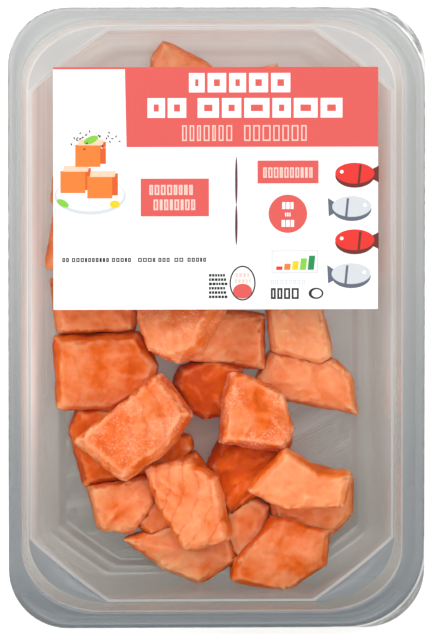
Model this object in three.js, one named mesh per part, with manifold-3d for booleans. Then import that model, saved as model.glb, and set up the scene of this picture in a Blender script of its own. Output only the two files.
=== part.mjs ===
// A sealed pack of diced salmon, in millimetres. Z is up and the origin is on the table, under its middle.
// A clear thermoformed tray holds the dice, a film is sealed to its flange, and a label lies on the film.
// Seen from above, +Y is the label's end and +X is the side where the film can be peeled.
import * as THREE from 'three';
import Module from 'manifold-3d';

const manifoldLibrary = await Module();
manifoldLibrary.setup();
const { Manifold, Mesh: ManifoldMesh } = manifoldLibrary;

// ---- Driving dimensions ---------------------------------------------------------------------------------

const TRAY_LENGTH = 209;
const TRAY_WIDTH = 140;
const TRAY_HEIGHT = 38;
const TRAY_WALL = 0.6;
const TRAY_CORNER = 20;
const TRAY_PEEL_CORNER = 26;     // the flange is cut back at the two corners where the film is gripped

const FLANGE_LEFT = 4.2;
const FLANGE_RIGHT = 7.2;
const FLANGE_TOP = 4;
const FLANGE_BOTTOM = 5.2;
const FLANGE_LIP = 1.8;          // the outer edge is turned down by this much
const FLANGE_ROLL = 0.8;         // the bend from the flange into the wall

const LEDGE_DEPTH = 8;           // the four stacking ledges lie this far under the flange
const LEDGE_INSET = 2.6;         // the upper wall leans in by this much down to the ledges
const LEDGE_CUT_X = 26.6;
const LEDGE_CUT_Y = 21.4;

const BASE_WIDTH = 111;
const BASE_LENGTH = 185;
const BASE_CUT_X = 19.5;
const BASE_CUT_Y = 14;
const PANEL_INSET = 6;           // the tray stands on a panel this far inside the foot of its wall
const PANEL_STEP = 1.2;

const FILM_THICKNESS = 0.3;
const LABEL_WIDTH = 109.5;
const LABEL_LENGTH = 82;
const LABEL_THICKNESS = 0.2;
const LABEL_CENTRE = [-0.4, 43.2];
const SEAL_GAP = 0.1;

const CORNER_STEPS = 9;

const DICE_GAP = 0.3;            // between two dice, and between a die and the tray
const DICE_RIM_POINTS = 17;
const DICE_THICKNESS = 16.5;
const SOFT_SINK = 1.6;           // how far a die on top presses into the soft dice under it
const FIELD_CELL = 1;
const TRIM_TOLERANCE = 0.18;     // how coarsely a trimmed die is drawn

// ---- Outlines and lofts ---------------------------------------------------------------------------------

const lerp = THREE.MathUtils.lerp;

// A tray outline seen from above, anticlockwise: four sides joined by corners that take cutX off one side
// and cutY off the next. A corner is an arc at round = 1 and a straight chamfer at round = 0.
function outline({ halfX, halfY, cutX, cutY = cutX, cutRight = 0, round = 1, x = 0, y = 0 }) {
  const points = [];
  for (const [signX, signY] of [[1, 1], [-1, 1], [-1, -1], [1, -1]]) {
    const alongX = signX > 0 && cutRight ? cutRight : cutX;
    const alongY = signX > 0 && cutRight ? cutRight : cutY;
    for (let step = 0; step <= CORNER_STEPS; step += 1) {
      const share = signX * signY > 0 ? step / CORNER_STEPS : 1 - step / CORNER_STEPS;
      const angle = share * Math.PI / 2;
      const towardsX = lerp(1 - share, Math.cos(angle), round);
      const towardsY = lerp(share, Math.sin(angle), round);
      points.push([
        x + signX * (halfX - alongX + alongX * towardsX),
        y + signY * (halfY - alongY + alongY * towardsY),
      ]);
    }
  }
  return points;
}

// Joins rings of equally many points into one closed skin, with a flat fan over the first and the last ring.
function loft(rings) {
  const count = rings[0].points.length;
  const positions = rings.flatMap(({ points, z }) => points.flatMap(([x, y]) => [x, y, z]));
  const index = [];
  for (let ring = 0; ring + 1 < rings.length; ring += 1) {
    for (let i = 0; i < count; i += 1) {
      const a = ring * count + i;
      const b = ring * count + (i + 1) % count;
      index.push(a, b, b + count, a, b + count, a + count);
    }
  }
  const fan = (ring, facesUp) => {
    const { points, z } = rings[ring];
    const hub = positions.length / 3;
    const middle = (axis) => points.reduce((sum, point) => sum + point[axis], 0) / count;
    positions.push(middle(0), middle(1), z);
    for (let i = 0; i < count; i += 1) {
      const a = ring * count + i;
      const b = ring * count + (i + 1) % count;
      index.push(...(facesUp ? [hub, a, b] : [hub, b, a]));
    }
  };
  fan(0, false);
  fan(rings.length - 1, true);
  const geometry = new THREE.BufferGeometry();
  geometry.setAttribute('position', new THREE.Float32BufferAttribute(positions, 3));
  geometry.setIndex(index);
  return geometry;
}

function plate(points, bottom, thickness) {
  return loft([{ points, z: bottom }, { points, z: bottom + thickness }]);
}

// ---- Tray -----------------------------------------------------------------------------------------------

const CAVITY_X = (FLANGE_LEFT - FLANGE_RIGHT) / 2;
const CAVITY_Y = (FLANGE_BOTTOM - FLANGE_TOP) / 2;
const OPENING_HALF_X = (TRAY_WIDTH - FLANGE_LEFT - FLANGE_RIGHT) / 2;
const OPENING_HALF_Y = (TRAY_LENGTH - FLANGE_TOP - FLANGE_BOTTOM) / 2;
const LEDGE_Z = TRAY_HEIGHT - LEDGE_DEPTH;

// The rings of the wall's inner face, from the flange down to the panel, moved out and down by wall. The
// ledges are where the arcs of the upper wall give way to the chamfers of the lower one.
function wallRings(wall) {
  const ring = (z, halfX, halfY, cutX, cutY, round) => ({
    z: z - wall,
    points: outline({
      halfX: halfX + wall, halfY: halfY + wall, cutX, cutY, round, x: CAVITY_X, y: CAVITY_Y,
    }),
  });
  const upper = (z, inset) => (
    ring(z, OPENING_HALF_X - inset, OPENING_HALF_Y - inset, LEDGE_CUT_X, LEDGE_CUT_Y, 1)
  );
  const ledgeHalfX = OPENING_HALF_X - LEDGE_INSET;
  const ledgeHalfY = OPENING_HALF_Y - LEDGE_INSET;
  const lower = (z, share, inset = 0) => ring(
    z,
    lerp(ledgeHalfX, BASE_WIDTH / 2, share) - inset,
    lerp(ledgeHalfY, BASE_LENGTH / 2, share) - inset,
    lerp(LEDGE_CUT_X, BASE_CUT_X, share),
    lerp(LEDGE_CUT_Y, BASE_CUT_Y, share),
    0.12,
  );
  const stepZ = TRAY_WALL + PANEL_STEP;
  return [
    upper(TRAY_HEIGHT, 0),
    upper(TRAY_HEIGHT - 0.3 * FLANGE_ROLL, 0.45 * FLANGE_ROLL),
    upper(TRAY_HEIGHT - FLANGE_ROLL, 0.7 * FLANGE_ROLL),
    upper(LEDGE_Z + 0.6, LEDGE_INSET - 0.25),
    upper(LEDGE_Z, LEDGE_INSET),
    lower(LEDGE_Z, 0, 0.3),
    lower(LEDGE_Z - 0.7, 0.03, 0.5),
    lower(stepZ + 4, 0.93, 0),
    lower(stepZ + 1.2, 1, 0.4),
    lower(stepZ, 1, 1.6),
    lower(stepZ, 1, PANEL_INSET - 1.4),
    lower(TRAY_WALL, 1, PANEL_INSET),
  ];
}

function trayGeometry() {
  const flange = (inset, z) => ({
    z,
    points: outline({
      halfX: TRAY_WIDTH / 2 - inset,
      halfY: TRAY_LENGTH / 2 - inset,
      cutX: TRAY_CORNER,
      cutRight: TRAY_PEEL_CORNER,
    }),
  });
  const underFlange = TRAY_HEIGHT - TRAY_WALL;
  return loft([
    ...wallRings(TRAY_WALL).reverse(),
    flange(TRAY_WALL + 0.5, underFlange),
    flange(TRAY_WALL, TRAY_HEIGHT - FLANGE_LIP),
    flange(0, TRAY_HEIGHT - FLANGE_LIP),
    flange(0.2, TRAY_HEIGHT - 0.35),
    flange(0.6, TRAY_HEIGHT),
    ...wallRings(0),
  ]);
}

// ---- Film and label -------------------------------------------------------------------------------------

function filmGeometry() {
  const points = outline({ halfX: TRAY_WIDTH / 2, halfY: TRAY_LENGTH / 2, cutX: TRAY_CORNER });
  return plate(points, TRAY_HEIGHT + SEAL_GAP, FILM_THICKNESS);
}

function labelGeometry() {
  const geometry = new THREE.BoxGeometry(LABEL_WIDTH, LABEL_LENGTH, LABEL_THICKNESS, 4, 3, 1);
  const bottom = TRAY_HEIGHT + FILM_THICKNESS + 2 * SEAL_GAP;
  return geometry.translate(LABEL_CENTRE[0], LABEL_CENTRE[1], bottom + LABEL_THICKNESS / 2);
}

// ---- Salmon dice ----------------------------------------------------------------------------------------

// The dice that show, in the order in which they were laid. Each has the corners of its outline seen from
// above, anticlockwise. Those marked rests lie on the dice before them and find their own lean, and the
// others lie on the tray. thick is a share of the usual thickness, lean moves the top face, cup hollows it.
const SHOWN_DICE = [
  { corners: [[-53, -7], [-27, -6], [-26, 10], [-55, 11]], thick: 0.95 },
  {
    corners: [[-52.3, -32], [-35, -33], [-21, -26], [-18.5, -18], [-25, -7], [-53.4, -8]],
    thick: 1.12, lean: [-1, 0],
  },
  { corners: [[-12, -16], [3, -17], [17.2, -19.5], [17, -1], [2, 1], [-11, -4]], thick: 0.95 },
  { corners: [[20, -13], [36.3, -17], [40.2, -15], [35.2, 8], [18, 9], [18, 0]], thick: 1.15 },
  {
    corners: [[14, -24.5], [23, -30], [48.3, -35], [46.2, -21.5], [40.5, -16.5], [19, -14]],
    thick: 0.85, lean: [0.5, 0.5],
  },
  {
    corners: [[-13.5, -24], [-8.5, -33], [-3, -36.5], [4, -35], [10, -19], [-1, -15.5], [-11, -19]],
    thick: 0.9,
  },
  { corners: [[-49, -40], [-44, -59], [-21, -55], [-20, -36], [-30, -32], [-46, -33]], thick: 0.9 },
  { corners: [[-39, -74], [-28, -75], [-20, -64], [-21, -55], [-43, -59]], thick: 1.05 },
  { corners: [[-22, -76], [-15, -77], [-10, -64], [-19, -60], [-28, -71]], thick: 0.8 },
  { corners: [[-17, -87.5], [-5, -92.5], [8, -85], [5, -73], [-12, -71], [-30.5, -77.5]], thick: 0.9 },
  { corners: [[-1.5, -52], [1, -62], [5, -70], [25, -53], [26, -43], [3, -42]], thick: 0.95, cup: -1.5 },
  { corners: [[20, -70], [40, -76], [47, -69], [47, -56], [32, -52], [18, -58]], thick: 0.95 },
  { corners: [[4, -78], [8, -84], [17, -74], [19, -66], [12, -62], [4, -66]], thick: 0.9 },
  { corners: [[6.5, -84], [6, -91], [24, -95.5], [38, -86], [39, -74], [24, -69], [20, -69]], thick: 1.15 },
  { corners: [[-24, -54], [-13, -53], [-7, -46.5], [-8, -42.5], [-22, -40]], thick: 0.75 },
  { corners: [[-18, -62], [-4, -62], [-2, -53], [-6, -48], [-13, -49], [-18, -53]], thick: 0.85 },
  {
    corners: [[-22, -12], [-13, -16], [-5, -12], [3, 1], [-4, 12], [-24, 11], [-26, -1]],
    thick: 0.85, rests: true,
  },
  {
    corners: [[3, -29], [2, -43], [23, -46], [26, -39], [23, -27], [9, -20], [5, -20]],
    thick: 0.95, rests: true,
  },
  {
    corners: [[-46, -43], [-30, -56], [-14, -45], [-7, -34], [-17, -20]],
    thick: 1, lean: [-2.2, 0.6], rests: true,
  },
  { corners: [[-20, -63], [-10, -80], [5, -76], [1, -55], [-8, -49], [-23, -52]], thick: 0.9, rests: true },
  {
    corners: [[24, -65], [43, -64], [45.5, -53], [35.5, -53], [23.5, -45], [11, -59]],
    thick: 0.8, cup: 2.2, rests: true,
  },
  { corners: [[-20, 75], [-2, 76], [0, 83], [-17, 92], [-21, 86]], thick: 0.85 },
];

// The dice under the label hardly show, so they are laid in rows, each with sizes and a turn of its own. The
// last row lies on top of the others.
const HIDDEN_ROWS = [
  { y: 67, x: [-39, 12, 38] },
  { y: 46, x: [-41, -16, 11, 43] },
  { y: 22, x: [-42.6, -16, 12, 40] },
  { y: 50, x: [-29, 27], rests: true },
];
const HIDDEN_LENGTH = 25.5;
const HIDDEN_WIDTH = 22;
const HIDDEN_THICKNESS = 0.88;

function seededRandom(seed) {
  let state = seed;
  return () => {
    state = (state * 16807) % 2147483647;
    return state / 2147483647;
  };
}

function hiddenDice() {
  const random = seededRandom(4817);
  const either = (spread) => spread * (2 * random() - 1);
  return HIDDEN_ROWS.flatMap(({ x: places, y: rowY, rests = false }) => places.map((placeX) => {
    const [x, y, turn] = [placeX + either(1.2), rowY + either(2), either(0.3)];
    const halfLength = HIDDEN_LENGTH / 2 * (1 + either(0.1));
    const halfWidth = HIDDEN_WIDTH / 2 * (1 + either(0.12));
    const corners = [[-1, -1], [1, -1], [1, 1], [-1, 1]].map(([signX, signY]) => {
      const alongX = signX * halfLength * (1 + either(0.14));
      const alongY = signY * halfWidth * (1 + either(0.14));
      return [
        x + alongX * Math.cos(turn) - alongY * Math.sin(turn),
        y + alongX * Math.sin(turn) + alongY * Math.cos(turn),
      ];
    });
    return { corners, thick: HIDDEN_THICKNESS * (1 + either(0.12)), rests };
  }));
}

// Shares count points out along a closed outline, with every corner kept.
function spreadPoints(corners, count) {
  const sides = corners.map((from, i) => {
    const to = corners[(i + 1) % corners.length];
    return { from, to, length: Math.hypot(to[0] - from[0], to[1] - from[1]), parts: 1 };
  });
  for (let spare = count - sides.length; spare > 0; spare -= 1) {
    const step = (side) => side.length / side.parts;
    sides.reduce((best, side) => (step(side) > step(best) ? side : best)).parts += 1;
  }
  return sides.flatMap(({ from, to, parts }) => Array.from({ length: parts }, (_, i) => [
    lerp(from[0], to[0], i / parts), lerp(from[1], to[1], i / parts),
  ]));
}

// The section of a die, from the rim of its underside to near the middle of its top: how far out, how high.
const DIE_SECTION = [[0.87, 0], [0.99, 0.14], [1.03, 0.5], [0.99, 0.86], [0.88, 1], [0.45, 1.05]];
const RELIEF_DEPTH = 0.7;
const RELIEF_RATES = [0.57, 0.93, 1.41];     // of the waves in a die's faces, in radians a millimetre

// A soft, knife-cut lump: rings of its outline, waved by a few sines so that no face is flat.
function dieGeometry({ corners, thick, lean = [0, 0], cup = 0 }, seed) {
  const random = seededRandom(seed);
  const waves = RELIEF_RATES.map((rate) => ({
    phase: 2 * Math.PI * random(),
    run: new THREE.Vector3(random() - 0.5, random() - 0.5, random() - 0.5).setLength(rate),
  }));
  const wave = (x, y, z) => waves.reduce((sum, { phase, run }) => (
    sum + Math.sin(phase + run.x * x + run.y * y + run.z * z) / waves.length
  ), 0);
  const rim = spreadPoints(corners, DICE_RIM_POINTS);
  const middle = [0, 1].map((axis) => rim.reduce((sum, point) => sum + point[axis], 0) / rim.length);
  const height = thick * DICE_THICKNESS;
  const reach = Math.max(...rim.map(([x, y]) => Math.hypot(x - middle[0], y - middle[1])));
  const geometry = loft(DIE_SECTION.map(([out, up]) => ({
    z: up * height,
    points: rim.map(([x, y]) => [
      lerp(middle[0], x, out) + lean[0] * up, lerp(middle[1], y, out) + lean[1] * up,
    ]),
  })));
  const position = geometry.getAttribute('position');
  for (let i = 0; i < position.count; i += 1) {
    const [x, y, z] = [position.getX(i), position.getY(i), position.getZ(i)];
    const up = z / height;
    const push = 1 + RELIEF_DEPTH * wave(x, y, z) / reach;
    const distance = Math.hypot(x - middle[0], y - middle[1]) / reach;
    position.setXYZ(
      i,
      middle[0] + (x - middle[0]) * push,
      middle[1] + (y - middle[1]) * push,
      z + up * (RELIEF_DEPTH * 1.6 * wave(y, z, x) + cup * (distance * distance - 0.5)),
    );
  }
  return geometry;
}

function toSolid(geometry) {
  return new Manifold(new ManifoldMesh({
    numProp: 3,
    vertProperties: new Float32Array(geometry.getAttribute('position').array),
    triVerts: new Uint32Array(geometry.index.array),
  }));
}

function toGeometry(solid) {
  const mesh = solid.getMesh();
  const geometry = new THREE.BufferGeometry();
  geometry.setAttribute('position', new THREE.Float32BufferAttribute(mesh.vertProperties, 3));
  geometry.setIndex(Array.from(mesh.triVerts));
  return geometry;
}

// A copy of a solid that is wider by gap on every side of its box.
function grown(solid, gap) {
  const { min, max } = solid.boundingBox();
  const middle = min.map((low, axis) => (low + max[axis]) / 2);
  const factor = min.map((low, axis) => 1 + 2 * gap / (max[axis] - low));
  return solid.translate(middle.map((value) => -value)).scale(factor).translate(middle);
}

function boxesMeet(one, other) {
  const [a, b] = [one.boundingBox(), other.boundingBox()];
  return a.min.every((low, axis) => low < b.max[axis] && b.min[axis] < a.max[axis]);
}

// The height of what already lies in the tray, on a square grid of cells.
class HeightField {
  constructor(halfX, halfY) {
    this.columns = Math.ceil(2 * halfX / FIELD_CELL);
    this.rows = Math.ceil(2 * halfY / FIELD_CELL);
    this.halfX = halfX;
    this.halfY = halfY;
    this.heights = new Float32Array(this.columns * this.rows);
  }

  cell(x, y) {
    const column = Math.floor((x + this.halfX) / FIELD_CELL);
    const row = Math.floor((y + this.halfY) / FIELD_CELL);
    return row * this.columns + column;
  }

  raise(geometry) {
    const position = geometry.getAttribute('position');
    const index = geometry.index.array;
    const corner = (i) => new THREE.Vector3().fromBufferAttribute(position, index[i]);
    for (let i = 0; i < index.length; i += 3) {
      const [a, b, c] = [corner(i), corner(i + 1), corner(i + 2)];
      const longest = Math.max(a.distanceTo(b), b.distanceTo(c), c.distanceTo(a));
      const parts = Math.ceil(longest / (0.7 * FIELD_CELL));
      for (let u = 0; u <= parts; u += 1) {
        for (let v = 0; v <= parts - u; v += 1) {
          const point = a.clone().multiplyScalar(1 - (u + v) / parts);
          point.addScaledVector(b, u / parts).addScaledVector(c, v / parts);
          const cell = this.cell(point.x, point.y);
          this.heights[cell] = Math.max(this.heights[cell], point.z);
        }
      }
    }
  }

  // How far these points have to rise to lie on the field, where they touch it first.
  rise(points) {
    return Math.max(...points.map(({ x, y, z }) => this.heights[this.cell(x, y)] - z));
  }
}

const LEAN_LIMIT = 0.5;
const LEAN_STEPS = [0.16, 0.08, 0.04, 0.02];

// Leans a die and lowers it until it rests on the field, with its middle as low as it can lie.
function restOn(field, geometry) {
  geometry.computeBoundingBox();
  const middle = geometry.boundingBox.getCenter(new THREE.Vector3());
  const position = geometry.getAttribute('position');
  const vertices = Array.from({ length: position.count }, (_, i) => (
    new THREE.Vector3().fromBufferAttribute(position, i).sub(middle)
  ));
  const pose = (leanX, leanY) => {
    const turn = new THREE.Quaternion().setFromEuler(new THREE.Euler(leanX, leanY, 0));
    const points = vertices.map((vertex) => {
      const point = vertex.clone().applyQuaternion(turn);
      point.x += middle.x;
      point.y += middle.y;
      return point;
    });
    return { leanX, leanY, turn, rise: field.rise(points) };
  };
  let best = pose(0, 0);
  for (const step of LEAN_STEPS) {
    for (let tries = 0; tries < 6; tries += 1) {
      const around = [[step, 0], [-step, 0], [0, step], [0, -step]]
        .map(([x, y]) => [best.leanX + x, best.leanY + y])
        .filter(([x, y]) => Math.hypot(x, y) < LEAN_LIMIT)
        .map(([x, y]) => pose(x, y));
      const lowest = around.reduce((low, next) => (next.rise < low.rise ? next : low), best);
      if (lowest === best) {
        break;
      }
      best = lowest;
    }
  }
  geometry.translate(-middle.x, -middle.y, -middle.z).applyQuaternion(best.turn);
  return geometry.translate(middle.x, middle.y, best.rise - SOFT_SINK);
}

// Lays the dice one after another. Each is trimmed to the tray and to the dice that it presses on.
function laidDice() {
  const cavity = toSolid(loft([
    ...wallRings(-DICE_GAP).reverse(),
    { points: wallRings(-DICE_GAP)[0].points, z: TRAY_HEIGHT - DICE_GAP },
  ]));
  const field = new HeightField(TRAY_WIDTH / 2, TRAY_LENGTH / 2);
  const laid = [];
  [...hiddenDice(), ...SHOWN_DICE].forEach((die, i) => {
    const geometry = dieGeometry(die, 1000 + 37 * i).translate(0, 0, TRAY_WALL);
    let solid = toSolid(die.rests ? restOn(field, geometry) : geometry).intersect(cavity);
    for (const other of laid.map((earlier) => grown(earlier, DICE_GAP))) {
      if (boxesMeet(solid, other)) {
        solid = solid.subtract(other);
      }
    }
    const pieces = solid.decompose().sort((a, b) => b.volume() - a.volume());
    laid.push(pieces[0].simplify(TRIM_TOLERANCE));
    field.raise(toGeometry(laid.at(-1)));
  });
  return laid.map(toGeometry);
}

// ---- Assembly -------------------------------------------------------------------------------------------

const clearPlastic = () => new THREE.MeshStandardMaterial({
  color: 0xc4c4c0, roughness: 0.15, metalness: 0, transparent: true, opacity: 0.45,
});
const filmPlastic = () => new THREE.MeshStandardMaterial({
  color: 0xe6e8ea, roughness: 0.08, metalness: 0, transparent: true, opacity: 0.18,
});
const labelPaper = () => new THREE.MeshStandardMaterial({ color: 0xffffff, roughness: 0.45, metalness: 0 });
const salmonFlesh = () => new THREE.MeshStandardMaterial({ color: 0xf0854e, roughness: 0.4, metalness: 0 });

const pack = new THREE.Group();

function add(name, geometry, material) {
  geometry.computeBoundingBox();
  const middle = geometry.boundingBox.getCenter(new THREE.Vector3());
  const mesh = new THREE.Mesh(geometry.translate(-middle.x, -middle.y, -middle.z), material);
  mesh.name = name;
  mesh.position.copy(middle);
  pack.add(mesh);
}

add('tray', trayGeometry(), clearPlastic());
add('lid_film', filmGeometry(), filmPlastic());
add('label', labelGeometry(), labelPaper());
laidDice().forEach((geometry, i) => {
  geometry.computeVertexNormals();
  add(`salmon_${String(i + 1).padStart(2, '0')}`, geometry, salmonFlesh());
});

export default pack;
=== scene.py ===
"""A sealed pack of diced raw salmon: a clear tray, its dice, the lidding film and the label on it."""

import math
import random

import bmesh
import bpy
import numpy as np
from mathutils import Matrix, Vector, noise


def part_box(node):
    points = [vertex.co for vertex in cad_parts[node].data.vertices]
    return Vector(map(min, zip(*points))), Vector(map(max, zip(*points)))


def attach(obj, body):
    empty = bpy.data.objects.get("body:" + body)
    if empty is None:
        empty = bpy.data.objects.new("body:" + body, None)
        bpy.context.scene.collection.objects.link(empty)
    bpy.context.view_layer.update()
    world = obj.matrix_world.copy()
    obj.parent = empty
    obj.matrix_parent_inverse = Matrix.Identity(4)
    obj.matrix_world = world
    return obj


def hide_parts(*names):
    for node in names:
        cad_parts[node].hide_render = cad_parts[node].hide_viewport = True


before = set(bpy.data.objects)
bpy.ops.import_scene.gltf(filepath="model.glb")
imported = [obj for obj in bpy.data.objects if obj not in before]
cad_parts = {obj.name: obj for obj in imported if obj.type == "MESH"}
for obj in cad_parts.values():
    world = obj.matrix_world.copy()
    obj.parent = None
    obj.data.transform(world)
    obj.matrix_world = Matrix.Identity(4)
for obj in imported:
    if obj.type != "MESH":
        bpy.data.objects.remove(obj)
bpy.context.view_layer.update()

# ---- The tray ---------------------------------------------------------------------------------------------
# A thin sheet of clear, slightly grey plastic, formed by vacuum into a mould. It is drawn here as the rings
# of its inner face, from the turned-down edge of the flange to the panel it stands on, and gets its wall
# outwards.

MM = 0.001
RAIL_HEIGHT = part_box("tray")[1][2]
FLANGE_LEFT, FLANGE_RIGHT, FLANGE_TOP, FLANGE_BOTTOM = 4.2 * MM, 7.2 * MM, 4.0 * MM, 5.2 * MM
TRAY_CORNER, PEEL_CORNER = 20 * MM, 26 * MM
WALL = 0.5 * MM
LEDGE_DEPTH, LEDGE_INSET = 8 * MM, 2.6 * MM
LEDGE_CUT, BASE_CUT = Vector((26.6, 21.4)) * MM, Vector((19.5, 14.0)) * MM
BASE_HALF = Vector((55.5, 92.5)) * MM
PANEL_INSET, PANEL_STEP = 6 * MM, 1.2 * MM
CORNER_SEGMENTS = 14
OTHER_STEPS = range(1, 12), (12, 13, 18), (17,)     # of the seal, the folds and the ledges, from ring to ring
ARC, CHAMFER = 0.5, 0.27
PILE_MIDDLE, PILE_REACH = Vector((-5, -38)) * MM, 50 * MM
# Painted shade at the -Y end, and painted orange bounce light from the dice on the floor round them.
END_SHADE, DICE_BOUNCE = 0.13, 0.3
BACK_SHARE = 0.45
TRAY_IOR, TRAY_GLOSS = 1.5, 0.6
# PALE_SPAN: the span of Y over which the seal, folds and ledge are painted paler towards +Y, painted light.
# DIM_SEAL: the darker body of the seal and the ledge, for their painted shade at -Y.
PALE_SPAN = -0.12, 0.05
DIM_SEAL = 0.45, (0.17, 0.2, 0.22, 1), (0.72, 0.735, 0.745, 1)

tray_low, tray_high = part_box("tray")
tray_half = (tray_high - tray_low).to_2d() / 2
tray_middle = (tray_high + tray_low).to_2d() / 2
opening_half = tray_half - Vector((FLANGE_LEFT + FLANGE_RIGHT, FLANGE_TOP + FLANGE_BOTTOM)) / 2
opening_middle = tray_middle + Vector((FLANGE_LEFT - FLANGE_RIGHT, FLANGE_BOTTOM - FLANGE_TOP)) / 2
ledge_half = opening_half - Vector((LEDGE_INSET, LEDGE_INSET))


def outline(mesh, half, cut, z, middle, profile=ARC, right_cut=None):
    """Adds a closed loop of edges, a rectangle with its corners cut, and returns the edges."""
    stretch = cut.y / cut.x
    made = bmesh.ops.create_grid(mesh, x_segments=1, y_segments=1, size=1)["verts"]
    bmesh.ops.scale(mesh, verts=made, vec=(half.x, half.y / stretch, 1))
    sides = {False: cut.x, True: right_cut or cut.x}
    corners = []
    for is_right, offset in sides.items():
        bevelled = bmesh.ops.bevel(
            mesh, geom=[v for v in made if v.is_valid and (v.co.x > 0) == is_right], offset=offset,
            offset_type="OFFSET", affect="VERTICES", segments=CORNER_SEGMENTS, profile=profile, material=-1,
        )
        corners += bevelled["verts"]
    bmesh.ops.scale(mesh, verts=corners, vec=(1, stretch, 1))
    bmesh.ops.translate(mesh, verts=corners, vec=(middle.x, middle.y, z))
    edges = list({edge for vert in corners for edge in vert.link_edges})
    faces = list({face for vert in corners for face in vert.link_faces})
    bmesh.ops.delete(mesh, geom=faces, context="FACES_ONLY")
    return edges


def finished(name, mesh, *materials, smooth=True):
    """Turns a bmesh into an object at the origin, in the scene."""
    data = bpy.data.meshes.new(name)
    mesh.to_mesh(data)
    mesh.free()
    for material in materials:
        data.materials.append(material)
    data.polygons.foreach_set("use_smooth", [smooth] * len(data.polygons))
    piece = bpy.data.objects.new(name, data)
    bpy.context.scene.collection.objects.link(piece)
    return piece


class Wire:
    """An output of a shader node. Arithmetic on it adds Math nodes."""

    def __init__(self, finish, socket):
        self.finish = finish
        self.socket = socket

    def math(self, operation, *values):
        return self.finish.node("ShaderNodeMath", {"operation": operation}, dict(enumerate(values)))

    def __add__(self, other):
        return self.math("ADD", self, other)

    def __sub__(self, other):
        return self.math("SUBTRACT", self, other)

    def __rsub__(self, other):
        return self.math("SUBTRACT", other, self)

    def __mul__(self, other):
        return self.math("MULTIPLY", self, other)

    def __pow__(self, other):
        return self.math("POWER", self, other)

    __radd__ = __add__
    __rmul__ = __mul__

    def at_most(self, limit):
        return self.math("MINIMUM", self, limit)

    def between(self, low, high):
        """Rises smoothly from 0 at low to 1 at high."""
        return self.finish.node(
            "ShaderNodeMapRange", {"interpolation_type": "SMOOTHSTEP"},
            {0: self, 1: low, 2: high, 3: 0, 4: 1},
        )


class Finish:
    """A material that is being made of nodes."""

    def __init__(self, name):
        self.material = bpy.data.materials.new(name)
        self.material.use_nodes = True
        self.tree = self.material.node_tree
        self.tree.nodes.clear()

    def node(self, kind, settings=None, sockets=None, output=0):
        """Adds a node: its settings first, then its sockets. Returns one of its outputs."""
        made = self.tree.nodes.new(kind)
        for key, value in (settings or {}).items():
            if key == "stops":
                ramp = made.color_ramp.elements
                while len(ramp) < len(value):
                    ramp.new(1)
                for element, (position, colour) in zip(ramp, value):
                    element.position, element.color = position, colour
            else:
                setattr(made, key, value)
        for key, value in (sockets or {}).items():
            if isinstance(value, Wire):
                self.tree.links.new(value.socket, made.inputs[key])
            else:
                made.inputs[key].default_value = value
        return Wire(self, made.outputs[output])

    def place(self):
        """The point on the object itself, in metres."""
        return self.node("ShaderNodeTexCoord", output="Object")

    def attribute(self, name):
        return self.node("ShaderNodeAttribute", {"attribute_name": name}, output="Fac")

    def clouds(self, scale, detail=3, roughness=0.5, at=None):
        return self.node(
            "ShaderNodeTexNoise", {"noise_dimensions": "3D"},
            {"Vector": at or self.place(), "Scale": scale, "Detail": detail, "Roughness": roughness},
        )

    def shader_blend(self, share, first, second):
        """Mixes two shaders."""
        return self.node("ShaderNodeMixShader", None, {0: share, 1: first, 2: second})

    def blend(self, share, first, second):
        """Mixes two colours."""
        return self.node(
            "ShaderNodeMix", {"data_type": "RGBA"}, {0: share, 6: first, 7: second}, output=2,
        )

    def bump(self, height, distance, strength=1.0):
        return self.node(
            "ShaderNodeBump", None, {"Height": height, "Distance": distance, "Strength": strength},
        )

    def mirrored(self, body, ior, roughness, normal, share=1.0):
        """Lays a share of a plastic's reflection over a see-through body, alike from both sides."""
        inside = self.node("ShaderNodeNewGeometry", output="Backfacing")
        fresnel = self.node("ShaderNodeFresnel", None, {"IOR": ior - inside * (ior - 1 / ior)})
        mirror = self.node("ShaderNodeBsdfGlossy", None, {
            "Color": (1, 1, 1, 1), "Roughness": roughness, "Normal": normal,
        })
        return self.shader_blend(fresnel * share, body, mirror)

    def close(self, surface):
        end = self.tree.nodes.new("ShaderNodeOutputMaterial")
        self.tree.links.new(surface.socket, end.inputs["Surface"])
        return self.material


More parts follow.
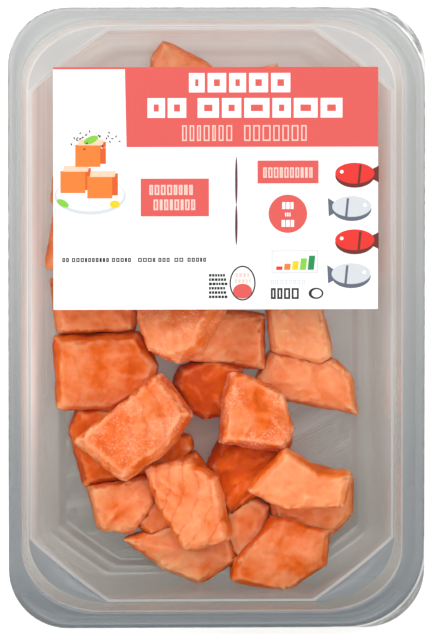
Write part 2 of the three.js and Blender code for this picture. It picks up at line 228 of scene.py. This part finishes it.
def tray_plastic(name, span, rise, *bodies):
    """Plastic that hazes what is behind it and shines. Of its two bodies, each the share of haze, its colour
    and the tint of the rest, the second, paler one is painted light: it takes over along the span of Y and,
    by the rise, up the walls, most at -X, and gives way on a strip high on the walls, painted shade there.
    The end at -Y is painted in shade with more haze, and the floor round the dice is painted with their
    orange bounce light."""
    finish = Finish(name)
    ripple = finish.bump(finish.clouds(70, detail=2), 0.2 * MM, 0.25)
    across, along, height = (
        finish.node("ShaderNodeSeparateXYZ", None, {0: finish.place()}, output=axis) for axis in "XYZ"
    )
    # Painted shade at the -Y end: more of each body's haze.
    shaded_end = 1 - along.between(-0.1, -0.08)
    made = []
    for share, colour, tint in bodies:
        front = finish.node("ShaderNodeBsdfDiffuse", None, {"Color": colour, "Normal": ripple})
        back = finish.node("ShaderNodeBsdfTranslucent", None, {"Color": colour, "Normal": ripple})
        haze = finish.shader_blend(BACK_SHARE, front, back)
        clear = finish.node("ShaderNodeBsdfTransparent", None, {"Color": tint})
        made.append(finish.shader_blend(share + END_SHADE * shaded_end, clear, haze))
    # Painted light: the paler body climbs the walls, most on the -X side and towards +Y.
    up_walls = height.between(0, 0.7 * RAIL_HEIGHT)
    up_walls *= (along - 0.6 * across).between(-0.1, 0.05) * (1 - 0.35 * across.between(-0.06, 0.06))
    second = (0.8 * along.between(*span) + rise * up_walls).at_most(1)
    # Painted shade: the paler body gives way on a strip high on the walls.
    second *= 1 - 0.4 * rise * height.between(0.78 * RAIL_HEIGHT, 0.85 * RAIL_HEIGHT)
    body = finish.shader_blend(second, *made)
    # Painted bounce light: the floor turns orange round the pile of dice, as if lit by them.
    from_pile = ((across - PILE_MIDDLE.x) ** 2 + (along - PILE_MIDDLE.y) ** 2) ** 0.5
    bounce_near_pile = 1 - from_pile.between(0, PILE_REACH)
    painted_bounce = finish.node("ShaderNodeBsdfDiffuse", None, {"Color": (0.6, 0.1, 0.01, 1)})
    body = finish.shader_blend(DICE_BOUNCE * bounce_near_pile, body, painted_bounce)
    return finish.close(finish.mirrored(body, TRAY_IOR, 0.2, ripple, TRAY_GLOSS))


def draw_tray():
    mesh = bmesh.new()
    rail = Vector((TRAY_CORNER, TRAY_CORNER))
    inset = Vector((1, 1)) * MM

    def flange(by, drop):
        return outline(
            mesh, tray_half - inset * by, rail, RAIL_HEIGHT - drop * MM, tray_middle, right_cut=PEEL_CORNER,
        )

    def upper(by, drop):
        return outline(mesh, opening_half - inset * by, LEDGE_CUT, RAIL_HEIGHT - drop * MM, opening_middle)

    def lower(share, by, z):
        half = ledge_half.lerp(BASE_HALF, share) - inset * by
        return outline(mesh, half, LEDGE_CUT.lerp(BASE_CUT, share), z, opening_middle, CHAMFER)

    ledge = RAIL_HEIGHT - LEDGE_DEPTH
    foot = WALL + PANEL_STEP
    ledge_by, ledge_drop, panel_by = LEDGE_INSET / MM, LEDGE_DEPTH / MM, PANEL_INSET / MM
    loops = [
        flange(0, 1.8), flange(0, 0.9), flange(0.06, 0.35), flange(0.3, 0.06), flange(0.6, 0),
        flange(2.6, 0.02), flange(2.75, 0.26), flange(3.05, 0.28), flange(3.2, 0.04),
        upper(-0.5, 0), upper(-0.1, 0.02), upper(0.15, 0.15), upper(0.4, 0.5), upper(0.6, 1.2),
        upper(ledge_by - 0.35, ledge_drop - 0.8), upper(ledge_by - 0.15, ledge_drop - 0.2),
        upper(ledge_by, ledge_drop),
        lower(0, 0.15, ledge - 0.02 * MM), lower(0, 0.9, ledge - 0.1 * MM),
        lower(0.02, 1.1, ledge - 0.6 * MM), lower(0.5, 0.5, (ledge + foot) / 2),
        lower(0.93, 0, foot + 3.2 * MM), lower(0.98, 0.2, foot + 1.4 * MM),
        lower(1, 0.8, foot + 0.4 * MM), lower(1, 1.6, foot + 0.06 * MM), lower(1, 2.2, foot + 0.04 * MM),
        lower(1, panel_by - 1.8, foot + 0.02 * MM), lower(1, panel_by - 1.2, foot - 0.2 * MM),
        lower(1, panel_by - 0.2, WALL + 0.2 * MM), lower(1, panel_by + 0.4, WALL + 0.02 * MM),
        lower(1, panel_by + 1, WALL),
    ]
    for step, (outer, inner) in enumerate(zip(loops, loops[1:]), start=1):
        for face in bmesh.ops.bridge_loops(mesh, edges=outer + inner)["faces"]:
            face.material_index = next(
                (index for index, steps in enumerate(OTHER_STEPS, start=1) if step in steps), 0,
            )
    bmesh.ops.edgeloop_fill(mesh, edges=loops[-1])
    bmesh.ops.recalc_face_normals(mesh, faces=mesh.faces)
    tray = finished(
        "clear_tray", mesh,
        # Each material's first body is the darker end of its painted light and shade, its second the paler
        # end.
        tray_plastic(
            "tray_plastic", (-0.1, 0.1), 0.9, (0.3, (0.15, 0.145, 0.13, 1), (0.86, 0.85, 0.82, 1)),
            (0.68, (0.92, 0.9, 0.88, 1), (0.95, 0.94, 0.93, 1)),
        ),
        tray_plastic(
            "tray_seal", PALE_SPAN, 0.0, DIM_SEAL, (0.5, (0.6, 0.61, 0.6, 1), (0.78, 0.79, 0.78, 1)),
        ),
        # The folds round the opening and the ledge are pale throughout: a painted highlight along them.
        tray_plastic(
            "tray_fold", PALE_SPAN, 0.0, (0.7, (0.5, 0.49, 0.49, 1), (0.95, 0.94, 0.93, 1)),
            (0.75, (0.8, 0.79, 0.78, 1), (0.9, 0.89, 0.88, 1)),
        ),
        tray_plastic(
            "tray_ledge", PALE_SPAN, 0.0, DIM_SEAL, (0.6, (0.8, 0.79, 0.78, 1), (0.85, 0.85, 0.84, 1)),
        ),
    )
    if sum(face.normal.z * face.area for face in tray.data.polygons) < 0:
        tray.data.flip_normals()
    wall = tray.modifiers.new("wall", "SOLIDIFY")
    wall.thickness, wall.offset = WALL, -1
    return tray


tray = draw_tray()
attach(tray, "root")
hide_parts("tray")

# ---- The salmon dice --------------------------------------------------------------------------------------
# Raw fish cut into dice with a knife: soft lumps with worn edges, in which the curved sheets of muscle show
# as fine seams. Each is the lump that the frame has in its place, remeshed finely, eased and scored.

DIE_VOXEL, HIDDEN_VOXEL = 0.5 * MM, 0.9 * MM
EASING_ROUNDS = 4
SEAM_WIDTH, SEAM_DEPTH = 0.36 * MM, 0.26 * MM
FLAKE_SWELL = 0.16 * MM
LUMP_SIZE, LUMP_DEPTH = 6 * MM, 0.5 * MM
TEAR_SIZE, TEAR_DEPTH = 1.9 * MM, 0.34 * MM
NICK_DEPTH = 1.6 * MM
SAG = 0.35 * MM
# Painted shade: the tone drops on faces that turn to the side.
PAINTED_SIDE_SHADE = -0.5
RIDGE_ROUNDS, RIDGE_PERCENTILE = 5, 97
FLAKE_BOW = 15 * MM
FIRST_SHOWN = 14

# tone: 0 is deep orange and 1 pale peach; some tones also hold painted light and shade, 16 made paler against
# the shade it lies in and 19 darker for its shade. frost: dry, whitish bloom, its speckles partly painted
# glints.
# grain: degrees from +X to the line across the flakes, seen from above. flake: millimetres from seam to seam.
# score: how deeply the seams show.
LOOKS = {
    14: {"tone": 0.4, "grain": 60}, 15: {"tone": 0.2, "grain": 10, "flake": 9, "score": 0.6},
    16: {"tone": 0.55, "grain": 110}, 17: {"tone": 0.8, "grain": 20, "score": 0.2},
    18: {"tone": 0.6, "grain": 75, "score": 0.2}, 19: {"tone": -0.45, "grain": 130, "score": 0.2},
    20: {"tone": -0.2, "grain": 85}, 21: {"tone": 0.45, "grain": 35}, 22: {"tone": 0.3, "grain": 45},
    23: {"tone": 0.55, "grain": 100}, 24: {"tone": -0.3, "grain": 115, "flake": 6, "score": 2.4},
    25: {"tone": 0.5, "grain": 95}, 26: {"tone": 0.6, "grain": 40}, 27: {"tone": 0.25, "grain": 140},
    28: {"tone": 0.0, "grain": 45}, 29: {"tone": 0.1, "grain": 20},
    30: {"tone": 0.3, "frost": 0.5, "grain": 70, "score": 0.4},
    31: {"tone": 0.1, "frost": 0.6, "grain": 60, "score": 0.2},
    32: {"tone": 0.2, "frost": 0.5, "grain": 4, "flake": 5.6, "score": 1.2},
    33: {"tone": 0.45, "frost": 0.15, "grain": -16, "flake": 5.2, "score": 1.3},
    34: {"tone": 0.5, "grain": 100, "score": 0.2}, 35: {"tone": 0.35, "grain": 30},
}
PLAIN_LOOK = {"tone": 0.4, "frost": 0.0, "grain": 50, "flake": 6.5, "score": 0.4}


def salmon_flesh():
    """Moist orange flesh that light sinks into, pale where it is dry or fat and deeper in its seams. Its
    rounded edges are paler, partly their frost and partly a painted highlight, and its bloom's speckles are
    partly painted glints.
    """
    finish = Finish("salmon_flesh")
    tone, frost, seam, ridge = (finish.attribute(name) for name in ("tone", "frost", "seam", "ridge"))
    patches = finish.clouds(95, detail=4, roughness=0.55)
    fibres = finish.clouds(420, detail=2)
    # The ridge term here is a painted highlight on the rounded edges.
    paleness = (tone + (patches - 0.5) * 1.9 + (fibres - 0.5) * 0.4 + ridge * 0.3).between(-0.9, 1.2)
    flesh = finish.node("ShaderNodeValToRGB", {"stops": (
        (0.0, (0.52, 0.05, 0.001, 1)), (0.4, (0.81, 0.145, 0.006, 1)), (1.0, (0.95, 0.41, 0.2, 1)),
    )}, {0: paleness})
    flesh = finish.blend(seam * 0.45, flesh, (0.76, 0.10, 0.008, 1))
    # Frost: a dry bloom, its speckles partly painted glints of moisture.
    speckle = finish.clouds(1300, detail=3, roughness=0.7).between(0.48, 0.66)
    bloom = finish.clouds(150, detail=3).between(0.38, 0.6) * frost
    flesh = finish.blend(bloom * (0.12 + 0.75 * speckle), flesh, (1.0, 0.66, 0.48, 1))
    # Paler rounded edges: partly their frost, partly a painted highlight.
    flesh = finish.blend((ridge - 0.35) * (0.3 + 0.5 * frost), flesh, (1.0, 0.54, 0.31, 1))
    relief = finish.bump(fibres * 0.6 + finish.clouds(1100, detail=4, roughness=0.6) * 0.5, 0.25 * MM, 0.6)
    return finish.close(finish.node("ShaderNodeBsdfPrincipled", {"subsurface_method": "RANDOM_WALK"}, {
        "Base Color": flesh, "Roughness": 0.42 + 0.2 * bloom, "Normal": relief, "IOR": 1.15,
        "Subsurface Weight": 0.75, "Subsurface Radius": (1.0, 0.25, 0.08), "Subsurface Scale": 4 * MM,
        "Coat Weight": 0.03, "Coat Roughness": 0.2,
    }))


def evaluated(piece):
    """Bakes a piece's modifiers into its mesh."""
    data = bpy.data.meshes.new_from_object(piece.evaluated_get(bpy.context.evaluated_depsgraph_get()))
    piece.modifiers.clear()
    piece.data = data


def refine(piece, voxel):
    """Gives a coarse lump small even faces and rubs its facets down."""
    mesh = bmesh.new()
    mesh.from_mesh(piece.data)
    bmesh.ops.remove_doubles(mesh, verts=mesh.verts, dist=0.001 * MM)
    mesh.to_mesh(piece.data)
    mesh.free()
    remesh = piece.modifiers.new("remesh", "REMESH")
    remesh.mode, remesh.voxel_size = "VOXEL", voxel
    ease = piece.modifiers.new("ease", "SMOOTH")
    ease.factor, ease.iterations = 0.5, EASING_ROUNDS
    evaluated(piece)


def read(collection, attribute, width, kind=float):
    values = np.empty(len(collection) * width, kind)
    collection.foreach_get(attribute, values)
    return values.reshape(-1, width)


def around(edges, values):
    """The mean of the values at the neighbours of each vertex."""
    ends, others = edges.T.ravel(), edges[:, ::-1].T.ravel()
    number = np.bincount(ends, minlength=len(values))
    sums = [np.bincount(ends, weights=column[others], minlength=len(values)) for column in values.T]
    return np.stack(sums, axis=1) / number[:, None]


def score(piece, look, seed):
    """Presses the seams between the flakes and the knife's tears into a die, all but its underside, and notes
    them for its finish."""
    data = piece.data
    points, normals = read(data.vertices, "co", 3), read(data.vertices, "normal", 3)
    edges = read(data.edges, "vertices", 2, int)
    shift = Vector((seed * 7.3, seed * 3.1, seed * 5.7))
    lumps = np.array([noise.fractal(Vector(at) / LUMP_SIZE + shift, 0.8, 2.1, 3) for at in points])
    tears = np.array([noise.noise(Vector(at) / TEAR_SIZE + shift) for at in points])
    ridge = ((points - around(edges, points)) * normals).sum(axis=1, keepdims=True)
    for _ in range(RIDGE_ROUNDS):
        ridge = around(edges, ridge)
    ridge = np.clip(ridge[:, 0] / np.percentile(ridge, RIDGE_PERCENTILE), 0, 1)
    angle = math.radians(look["grain"])
    across = points - points.mean(axis=0)
    run = across @ np.array((math.cos(angle), math.sin(angle), 0.35))
    along = across @ np.array((-math.sin(angle), math.cos(angle), 0.0))
    flake = look["flake"] * MM
    sheets = run / flake + (along / FLAKE_BOW) ** 2 + 0.2 * lumps + 0.37 * seed
    off_seam = (sheets - np.round(sheets)) * flake
    fade = look["score"] * np.clip(1.1 + 1.4 * np.roll(lumps, 7), 0.15, 1.3)
    seam = np.exp(-(off_seam / SEAM_WIDTH) ** 2) * fade
    swell = np.cos(2 * math.pi * off_seam / flake) * fade
    nicks = ridge * np.clip(lumps * 1.2 + tears * 1.8, 0, 1)
    height = (points[:, 2] - points[:, 2].min()) / np.ptp(points[:, 2])
    lift = LUMP_DEPTH * lumps + TEAR_DEPTH * tears + SAG * np.sin(math.pi * height) * (1 - normals[:, 2] ** 2)
    lift -= SEAM_DEPTH * seam + FLAKE_SWELL * swell + NICK_DEPTH * nicks
    lift *= 1 - np.clip(-normals[:, 2], 0, 1)
    data.vertices.foreach_set("co", (points + normals * lift[:, None]).ravel())
    for name, values in (
        ("seam", np.clip(seam, 0, 1)), ("ridge", ridge),
        # The tone, with the painted shade on the sides.
        ("tone", look["tone"] + PAINTED_SIDE_SHADE * (1 - np.clip(normals[:, 2], 0, 1))),
        ("frost", np.full(len(points), look["frost"])),
    ):
        data.attributes.new(name, "FLOAT", "POINT").data.foreach_set("value", values)
    data.update()


flesh = salmon_flesh()
dice_nodes = sorted(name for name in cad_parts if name.startswith("salmon_"))
for number, node in enumerate(dice_nodes, start=1):
    die = bpy.data.objects.new(f"die_{number:02d}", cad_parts[node].data.copy())
    bpy.context.scene.collection.objects.link(die)
    refine(die, DIE_VOXEL if number >= FIRST_SHOWN else HIDDEN_VOXEL)
    draw = random.Random(number)
    varied = {"tone": draw.uniform(0.3, 0.7), "grain": draw.uniform(0, 180)}
    score(die, {**PLAIN_LOOK, **varied, **LOOKS.get(number, {})}, number)
    die.data.materials.clear()
    die.data.materials.append(flesh)
    die.data.polygons.foreach_set("use_smooth", [True] * len(die.data.polygons))
    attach(die, "root")
    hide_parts(node)

# ---- The lidding film -------------------------------------------------------------------------------------
# A very thin clear film, welded to the flange and stretched flat over the dice. It is cut to the flange, but
# at the two corners where it is peeled the flange is cut back further, and a creased sliver stands free.

film_low, film_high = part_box("lid_film")
film_half = (film_high - film_low).to_2d() / 2
film_middle = (film_high + film_low).to_2d() / 2
SEAL_EDGE = Vector((0.2, 0.2)) * MM


def welded_film():
    """Clear film, flat and welded down: all but invisible."""
    finish = Finish("film_plastic")
    slack = finish.bump(finish.clouds(16, detail=2, roughness=0.4), 1.2 * MM, 0.35)
    clear = finish.node("ShaderNodeBsdfTransparent", None, {"Color": (1, 1, 1, 1)})
    return finish.close(finish.mirrored(clear, 1.12, 0.15, slack))


def loose_film():
    """The same film where nothing backs it, drawn into creases round the corner. Its creases and the flange's
    cut-back edge are painted pale as highlights, paler towards +Y, over a dim grey that paints a dark
    reflection.
    """
    finish = Finish("loose_film")
    across, along = (
        finish.node("ShaderNodeSeparateXYZ", None, {0: finish.place()}, output=axis) for axis in "XY"
    )
    out = across - (film_high.x - PEEL_CORNER)
    up = along.math("ABSOLUTE", along) - (film_high.y - PEEL_CORNER)
    radius = (out * out + up * up) ** 0.5
    turn = out.math("ARCTAN2", up, out)
    drawn = finish.node("ShaderNodeCombineXYZ", None, {0: radius, 1: 0.004 * turn, 2: 0.02 * along})
    creases = finish.clouds(900, detail=3, roughness=0.6, at=drawn)
    edge = 1 - radius.between(PEEL_CORNER + 0.15 * MM, PEEL_CORNER + 0.6 * MM)
    # Painted highlights on the creases and along the flange's edge, the creases' painted light growing
    # towards +Y.
    pale = creases.between(0.38, 0.64) * (0.25 + 0.55 * along.between(-0.09, 0.09)) + 0.5 * edge
    # A dim grey for the painted dark reflection, a pale one for the painted highlights.
    dim, bright = (
        finish.node("ShaderNodeBsdfDiffuse", None, {"Color": (shade, shade, 0.97 * shade, 1)})
        for shade in (0.12, 0.85)
    )
    haze = finish.shader_blend(pale, dim, bright)
    clear = finish.node("ShaderNodeBsdfTransparent", None, {"Color": (0.9, 0.9, 0.9, 1)})
    body = finish.shader_blend(0.55, clear, haze)
    return finish.close(finish.mirrored(body, 1.45, 0.2, finish.bump(creases, 0.4 * MM, 0.5)))


mesh = bmesh.new()
round_cut = Vector((TRAY_CORNER, TRAY_CORNER))
edge = outline(mesh, film_half, round_cut, film_high.z, film_middle)
seal = outline(
    mesh, film_half - SEAL_EDGE, round_cut, film_high.z + 0.01 * MM, film_middle, right_cut=PEEL_CORNER,
)
for face in bmesh.ops.bridge_loops(mesh, edges=edge + seal)["faces"]:
    face.material_index = 1
bmesh.ops.edgeloop_fill(mesh, edges=seal)
bmesh.ops.recalc_face_normals(mesh, faces=mesh.faces)
film = finished("film", mesh, welded_film(), loose_film(), smooth=False)
if sum(face.normal.z * face.area for face in film.data.polygons) < 0:
    film.data.flip_normals()
gauge = film.modifiers.new("gauge", "SOLIDIFY")
gauge.thickness, gauge.offset = film_high.z - film_low.z, -1
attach(film, "root")
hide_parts("lid_film")

# ---- The label --------------------------------------------------------------------------------------------
# A white coated paper label lying on the film. Its print is made of flat fields of ink: a coral band with
# blank blocks for its words, cubes on a plate, a row of fish, coral panels and small badges. No lettering.

INK_STEP = 0.012 * MM
PAPER = (0.93, 0.93, 0.93)
CORAL, PINK = (0.70, 0.096, 0.085), (0.90, 0.58, 0.52)
BLACK, MAROON = (0.012, 0.012, 0.013), (0.10, 0.028, 0.04)
SLATE, GREY = (0.11, 0.13, 0.18), (0.62, 0.65, 0.68)
RED, WINE = (0.75, 0.026, 0.018), (0.14, 0.02, 0.014)
GREEN, LIME, YELLOW = (0.01, 0.26, 0.08), (0.22, 0.58, 0.05), (0.93, 0.60, 0.01)
PEACH, ORANGE, RUST = (0.93, 0.60, 0.43), (0.87, 0.20, 0.025), (0.70, 0.10, 0.012)
SQUARE, TRIANGLE, ROUND = 4, 3, 40

LABEL_EASE = Vector((0.3, 0.9, 0)) * MM, Vector((-0.2, 0.34, 0)) * MM     # of its low and its high corner
label_low, label_high = (corner + ease for corner, ease in zip(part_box("label"), LABEL_EASE))
LABEL_WIDTH, BAND_HEIGHT = 109.0, 26.8


def coated_paper(name, colour=None):
    """Smooth paper, of one colour or of the colours painted on the mesh."""
    finish = Finish(name)
    painted = colour or finish.node("ShaderNodeAttribute", {"attribute_name": "ink"}, output="Color")
    return finish.close(finish.node("ShaderNodeBsdfPrincipled", None, {
        "Base Color": painted, "Roughness": 0.5, "IOR": 1.35,
    }))


mesh = bmesh.new()
bmesh.ops.create_cube(mesh, size=1)
bmesh.ops.scale(mesh, verts=mesh.verts, vec=label_high - label_low)
bmesh.ops.translate(mesh, verts=mesh.verts, vec=(label_high + label_low) / 2)
label = finished("label_sheet", mesh, coated_paper("label_paper", (*PAPER, 1)), smooth=False)
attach(label, "root")
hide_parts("label")


class Print:
    """Ink on the label, in millimetres right and down from its top left corner."""

    def __init__(self):
        self.mesh = bmesh.new()
        self.colours = self.mesh.loops.layers.float_color.new("ink")
        self.laid = []

    def field(self, sides, x, y, width, height, ink, turn=0, lean=0):
        """One flat shape round the point x, y, over whatever is printed under it."""
        is_square = sides == SQUARE
        radius = 0.5 / math.cos(math.pi / sides) if is_square else 0.5
        circle = bmesh.ops.create_circle(self.mesh, cap_ends=True, segments=sides, radius=radius)["verts"]
        square_up = Matrix.Rotation(math.pi / 4 if is_square else 0, 4, "Z")
        size = Matrix.Diagonal((width * MM, height * MM, 1, 1))
        shear = Matrix(((1, lean, 0, 0), (0, 1, 0, 0), (0, 0, 1, 0), (0, 0, 0, 1)))
        turned = Matrix.Rotation(math.radians(turn), 4, "Z")
        bmesh.ops.transform(self.mesh, verts=circle, matrix=turned @ shear @ size @ square_up)
        reach = Vector((max(abs(v.co.x) for v in circle), max(abs(v.co.y) for v in circle)))
        place = Vector((label_low.x + x * MM, label_high.y - y * MM))
        under = [
            level for level, other, extent in self.laid
            if all(abs(place[axis] - other[axis]) < reach[axis] + extent[axis] for axis in (0, 1))
        ]
        level = 1 + max(under, default=0)
        self.laid.append((level, place, reach))
        bmesh.ops.translate(self.mesh, verts=circle, vec=(*place, label_high.z + level * INK_STEP))
        for face in {face for vert in circle for face in vert.link_faces}:
            if face.normal.z < 0:
                face.normal_flip()
            for corner in face.loops:
                corner[self.colours] = (*ink, 1)

    def bar(self, left, top, right, bottom, ink, lean=0):
        self.field(SQUARE, (left + right) / 2, (top + bottom) / 2, right - left, bottom - top, ink, lean=lean)

    def words(self, left, top, right, bottom, signs, gap, ink, hollow=None, wall=0.0, seed=1):
        """A line of blank blocks where words stood. Hollow ones have a hole of the colour under them."""
        draw = random.Random(seed)
        shares = [draw.uniform(0.75, 1.25) for _ in range(signs)]
        room = (right - left) - gap * (signs - 1)
        at = left
        for share in shares:
            width = room * share / sum(shares)
            self.bar(at, top, at + width, bottom, ink)
            if hollow and width > 2 * wall:
                self.bar(at + wall, top + wall, at + width - wall, bottom - wall, hollow)
            at += width + gap


design = Print()
design.field(SQUARE, 65.4, BAND_HEIGHT / 2, 82.2, BAND_HEIGHT, CORAL, lean=-0.02)
design.bar(100, 0, LABEL_WIDTH, BAND_HEIGHT, CORAL)
design.bar(0, 0, 24.5, 0.7, CORAL)
design.words(45.5, 2.0, 79.5, 8.5, 5, 1.0, PAPER, CORAL, 2.1, seed=3)
design.words(31.6, 10.4, 44.6, 17.0, 2, 0.9, PAPER, CORAL, 2.1, seed=5)
design.words(48.4, 10.4, 97.0, 17.0, 6, 1.0, PAPER, CORAL, 2.2, seed=7)
design.words(43.2, 19.5, 60.0, 24.8, 7, 0.9, PINK, CORAL, 0.45, seed=9)
design.words(64.0, 19.5, 85.0, 24.8, 7, 0.9, PINK, CORAL, 0.45, seed=11)

design.field(ROUND, 12.4, 43.2, 24.0, 12.6, GREY)
design.field(ROUND, 12.4, 42.7, 22.6, 11.2, PAPER)
for x, y in ((6.6, 38.4), (15.6, 40.2), (11.6, 29.6)):
    design.bar(x - 4.2, y - 3.6, x + 4.2, y + 3.8, ORANGE)
    design.field(SQUARE, x + 5.1, y - 0.9, 1.9, 7.4, RUST)
    design.field(SQUARE, x + 1.0, y - 4.4, 8.4, 2.0, PEACH, lean=0.18)
design.field(ROUND, 12.6, 24.4, 5.2, 2.4, LIME, turn=24)
design.field(ROUND, 3.2, 45.6, 4.4, 2.2, LIME, turn=-30)
design.field(ROUND, 20.6, 46.0, 3.4, 2.6, YELLOW)
draw = random.Random(21)
for _ in range(26):
    angle, reach = draw.uniform(0, 2 * math.pi), draw.uniform(0.4, 1)
    x, y = 14.0 + 8.6 * reach * math.cos(angle), 24.6 + 3.2 * reach * math.sin(angle)
    design.field(ROUND, x, y, 0.9, 0.45, draw.choice((BLACK, BLACK, PEACH)), turn=draw.uniform(0, 180))

design.bar(29.3, 37.4, 52.2, 50.1, CORAL)
design.words(32.2, 39.5, 46.8, 42.9, 8, 0.5, PINK, CORAL, 0.55, seed=13)
design.words(33.6, 44.4, 47.6, 48.0, 8, 0.5, PINK, CORAL, 0.55, seed=15)
design.bar(68.5, 31.4, 89.0, 39.1, CORAL)
design.words(70.4, 33.7, 87.0, 37.2, 10, 0.45, PINK, CORAL, 0.5, seed=17)
design.field(ROUND, 78.7, 49.3, 13.0, 12.9, CORAL)
for top, bottom, reach in ((45.4, 47.7, 1.9), (48.9, 50.2, 0.9), (51.4, 53.7, 2.1)):
    design.words(78.7 - reach, top, 78.7 + reach, bottom, 3, 0.3, PAPER, seed=19)
design.field(ROUND, 61.4, 38.2, 0.85, 16.2, MAROON)
design.field(ROUND, 61.4, 53.0, 0.85, 13.6, MAROON)

for number, (x, y) in enumerate(((101.2, 36.0), (100.2, 47.2), (101.2, 58.4), (100.0, 69.8))):
    way = 1 if number % 2 else -1
    body, belly = (RED, WINE) if number % 2 == 0 else (GREY, SLATE)
    design.field(TRIANGLE, x - way * 6.2, y, 6.6, 7.4, belly, turn=30 if way > 0 else 90)
    design.field(ROUND, x, y + 0.5, 13.2, 8.2, belly)
    design.field(ROUND, x, y - 0.3, 13.2, 7.0, body)
    design.field(SQUARE, x - way * 1.6, y, 0.8, 6.2, belly, lean=0.1)
    design.field(ROUND, x + way * 4.4, y - 0.8, 1.2, 1.2, PAPER)

small_words = (3.0, 5.2), (6.2, 18.6), (19.6, 26.0), (28.4, 34.2), (35.2, 39.0), (40.6, 43.6), (45.0, 51.2)
for left, right in small_words:
    signs = round((right - left) / 1.3)
    design.words(left, 64.0, right, 65.4, signs, 0.35, BLACK, PAPER, 0.38, seed=23)
for line in range(6):
    top = 69.5 + 1.45 * line
    design.words(52.2, top, 57.6 + 0.4 * (line % 3), top + 0.9, 6, 0.2, BLACK, seed=line)
design.field(ROUND, 63.5, 72.6, 8.8, 11.8, BLACK)
design.field(ROUND, 63.5, 72.6, 7.8, 10.8, PAPER)
design.field(ROUND, 63.5, 75.3, 6.4, 5.0, CORAL)
design.words(61.2, 69.2, 65.8, 70.6, 4, 0.3, PINK, seed=25)
design.words(60.8, 71.3, 66.2, 72.5, 5, 0.3, PINK, seed=27)
design.bar(73.2, 61.6, 89.0, 69.4, GREY)
design.bar(73.6, 62.0, 88.6, 69.0, PAPER)
for number, colour in enumerate((RED, ORANGE, YELLOW, LIME, GREEN)):
    design.bar(74.8 + 2.7 * number, 67.0 - 0.9 * number, 76.9 + 2.7 * number, 68.2, colour, lean=0.1)
design.words(73.0, 71.5, 84.6, 73.1, 8, 0.5, GREY, PAPER, 0.3, seed=29)
design.words(73.0, 74.3, 82.4, 78.0, 4, 0.5, BLACK, PAPER, 0.65, seed=31)
design.field(ROUND, 88.2, 76.1, 5.0, 3.8, BLACK)
design.field(ROUND, 88.4, 76.1, 3.4, 2.7, PAPER)
label_print = finished("label_print", design.mesh, coated_paper("label_ink"), smooth=False)
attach(label_print, "root")

# ---- The studio -------------------------------------------------------------------------------------------
# A white table in a pale room, under four soft lights: a window over the label's end, a fill over the other,
# one low at the left and one for the film's sheen. The camera looks nearly straight down, leaning a little
# towards the label and the left.

FRAME_HEIGHT = 213.0 * MM
CAMERA_DISTANCE = 2.4
CAMERA_SENSOR = 36
CAMERA_AIM = Vector((-0.25 * MM, 0.5 * MM, RAIL_HEIGHT))
LEAN_LEFT, LEAN_UP = math.radians(2.1), math.radians(4.5)
TABLE_HALF = 6

mesh = bmesh.new()
bmesh.ops.create_grid(mesh, x_segments=1, y_segments=1, size=TABLE_HALF)
table_finish = Finish("table")
table = finished("table", mesh, table_finish.close(table_finish.node("ShaderNodeBsdfPrincipled", None, {
    "Base Color": (0.92, 0.92, 0.92, 1), "Roughness": 0.8,
    "Emission Color": (1, 1, 1, 1), "Emission Strength": 0.3,
})))

camera = bpy.data.objects.new("camera", bpy.data.cameras.new("camera"))
bpy.context.scene.collection.objects.link(camera)
camera.data.lens = CAMERA_SENSOR * CAMERA_DISTANCE / FRAME_HEIGHT
camera.data.sensor_width = CAMERA_SENSOR
camera.data.clip_end = 20
camera.rotation_euler = (-LEAN_UP, -LEAN_LEFT, 0)
camera.location = CAMERA_AIM + camera.rotation_euler.to_matrix() @ Vector((0, 0, CAMERA_DISTANCE))
bpy.context.scene.camera = camera


def soft_light(name, place, aim, size, power, colour=(1, 1, 1)):
    light = bpy.data.objects.new(name, bpy.data.lights.new(name, "AREA"))
    light.data.shape = "RECTANGLE"
    light.data.size, light.data.size_y = size
    light.data.energy = power
    light.data.color = colour
    light.location = place
    light.rotation_euler = (Vector(place) - Vector(aim)).to_track_quat("Z", "Y").to_euler()
    bpy.context.scene.collection.objects.link(light)


soft_light("window", (0, 0.75, 1.3), (0, 0.1, 0), (1.6, 1.0), 11)
soft_light("fill", (0.3, -1.3, 1.1), (0, 0, 0), (1.8, 1.0), 12)
soft_light("side", (-1.2, 0.4, 0.5), (0, 0, 0), (1.0, 0.8), 8)
soft_light("sheen", (0.05, 0.12, 1.3), (0.05, 0.12, 0), (0.5, 0.3), 2.5)

room = bpy.data.worlds.new("room")
bpy.context.scene.world = room
room.use_nodes = True
backdrop = room.node_tree.nodes["Background"].inputs
backdrop["Color"].default_value, backdrop["Strength"].default_value = (1, 1, 1, 1), 0.4
bpy.context.scene.view_settings.view_transform = "Standard"
